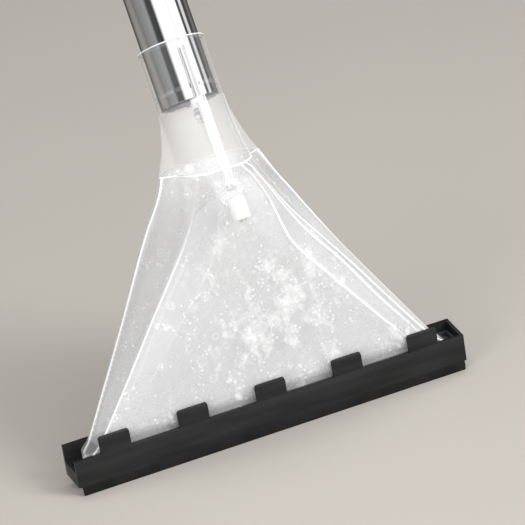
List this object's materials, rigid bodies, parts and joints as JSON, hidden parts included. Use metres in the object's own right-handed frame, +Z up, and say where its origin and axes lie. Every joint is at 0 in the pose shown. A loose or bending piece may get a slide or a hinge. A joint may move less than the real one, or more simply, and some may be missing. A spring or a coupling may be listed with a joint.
{
  "type": "spray extraction floor nozzle",
  "caption": "Clear wedge-shaped suction funnel with a water jet inside, on a leaning chromed tube with a locking socket, in a slide-on hooked hard-floor adapter with wiper lips.",
  "frame": {"origin": "centre of the adapter's suction slot, level with the floor under the wiper lips", "axes": "+X along the adapter towards its closed end, +Y to the side that the tube leans to, +Z up from the floor"},
  "size_m": [0.25, 0.2178, 0.4251],
  "materials": {
    "clear_shell": "hazy clear moulded plastic",
    "clear_neck": "clear moulded plastic",
    "clear_pipe": "milky clear plastic",
    "silicone": "matt",
    "black_rubber": "matt",
    "grey_rubber": "matt",
    "white_plastic": "satin",
    "brass": "turned",
    "steel_mesh": "woven mesh",
    "black_plastic": "fine texture",
    "grey_plastic": "fine texture",
    "bristle": "nylon bristles",
    "chrome": "polished"
  },
  "bodies": {
    "head": {"front_shell": "clear_shell", "rear_shell": "clear_shell", "tube_socket": "clear_neck", "socket_seal": "silicone", "spray_divider": "clear_shell", "head_water_pipe": "clear_pipe", "head_pipe_seal": "silicone", "jet_holder": "clear_pipe", "jet_seal": "black_rubber"},
    "jet": {"jet_nut": "white_plastic", "jet_tip": "brass", "jet_filter": "steel_mesh"},
    "adapter": {"adapter_frame": "black_plastic", "squeegee_lip": "black_rubber", "brush_backing": "black_plastic", "bristles": "bristle", "end_seal": "grey_rubber"},
    "tube": {"suction_tube": "chrome", "tube_guide": "grey_plastic", "tube_water_line": "clear_pipe", "water_plug": "white_plastic", "plug_seal": "silicone", "tube_coupling": "black_plastic", "coupling_seal": "black_rubber", "water_outlet": "white_plastic", "outlet_seal": "black_rubber"},
    "lock": {"lock_ring": "grey_plastic"}
  },
  "joints": [
    {"name": "adapter_slide", "type": "slide", "parent": "head", "child": "adapter", "axis": [1, 0, 0], "range_m": [0, 0.245]},
    {"name": "tube_pull", "type": "slide", "parent": "head", "child": "tube", "axis": [0, 0.5135, 0.8581], "range_m": [0, 0.06]},
    {"name": "lock_turn", "type": "hinge", "parent": "tube", "child": "lock", "pos_m": [0, 0.17309, 0.40306], "axis": [0, 0.5135, 0.8581], "range_deg": [0, 35]},
    {"name": "jet_turn", "type": "hinge", "parent": "head", "child": "jet", "pos_m": [0, -0.00619, 0.14558], "axis": [0, 0.5135, 0.8581], "range_deg": [0, 90]}
  ]
}
